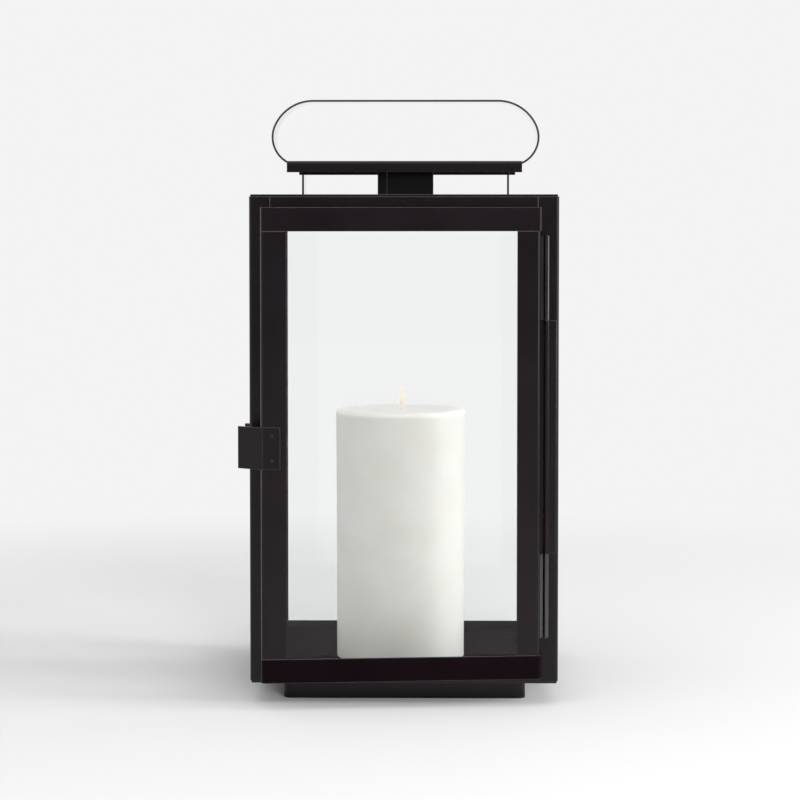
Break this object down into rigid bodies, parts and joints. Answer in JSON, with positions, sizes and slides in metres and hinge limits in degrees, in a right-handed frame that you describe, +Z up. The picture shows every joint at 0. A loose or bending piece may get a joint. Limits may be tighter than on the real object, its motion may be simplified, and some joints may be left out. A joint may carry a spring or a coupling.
{
  "type": "candle lantern",
  "caption": "Square glazed candle lantern of black painted sheet steel with a hinged door, recessed plinth, vent chimney under a folded cap, strap handle and a pillar candle.",
  "frame": {"origin": "centre of the plinth's underside, on the surface that the lantern stands on", "axes": "+Z up, +X to the right and +Y to the back as seen from the door side, which faces -Y"},
  "size_m": [0.1814, 0.2014, 0.3471],
  "materials": {
    "black_paint": "satin black powder coat",
    "clear_glass": "clear float glass",
    "candle_wax": "smooth ivory wax",
    "wick_cotton": "charred cotton"
  },
  "bodies": {
    "lantern": {"base_pan": "black_paint", "bottom_plate": "black_paint", "bottom_rail_front": "black_paint", "bottom_rail_left": "black_paint", "bottom_rail_rear": "black_paint", "bottom_rail_right": "black_paint", "chimney": "black_paint", "floor_plate": "black_paint", "glass_bead_front_left": "black_paint", "glass_bead_front_right": "black_paint", "glass_bead_rear_left": "black_paint", "glass_bead_rear_right": "black_paint", "handle_rivets": "black_paint", "handle_strap": "black_paint", "hinge_leaf_frame": "black_paint", "hinge_pin": "black_paint", "latch_keeper": "black_paint", "left_pane": "clear_glass", "post_front_left": "black_paint", "post_front_right": "black_paint", "post_rear_left": "black_paint", "post_rear_right": "black_paint", "rear_pane": "clear_glass", "right_pane": "clear_glass", "top_plate": "black_paint", "top_rail_front": "black_paint", "top_rail_left": "black_paint", "top_rail_rear": "black_paint", "top_rail_right": "black_paint", "vent_cap": "black_paint"},
    "door": {"door_glass_clips": "black_paint", "door_pane": "clear_glass", "door_rail_bottom": "black_paint", "door_rail_top": "black_paint", "door_stile_left": "black_paint", "door_stile_right": "black_paint", "hinge_leaf_door_lower": "black_paint", "hinge_leaf_door_upper": "black_paint", "latch_plate": "black_paint", "latch_rivets": "black_paint"},
    "candle": {"candle_wax": "candle_wax", "candle_wick": "wick_cotton"}
  },
  "joints": [
    {"name": "door_swing", "type": "hinge", "parent": "lantern", "child": "door", "pos_m": [0.0808, -0.09, 0.1496], "axis": [0, 0, 1], "range_deg": [-6, 105]},
    {"name": "candle_lift", "type": "slide", "parent": "lantern", "child": "candle", "axis": [0, 0, 1], "range_m": [0, 0.1]}
  ]
}
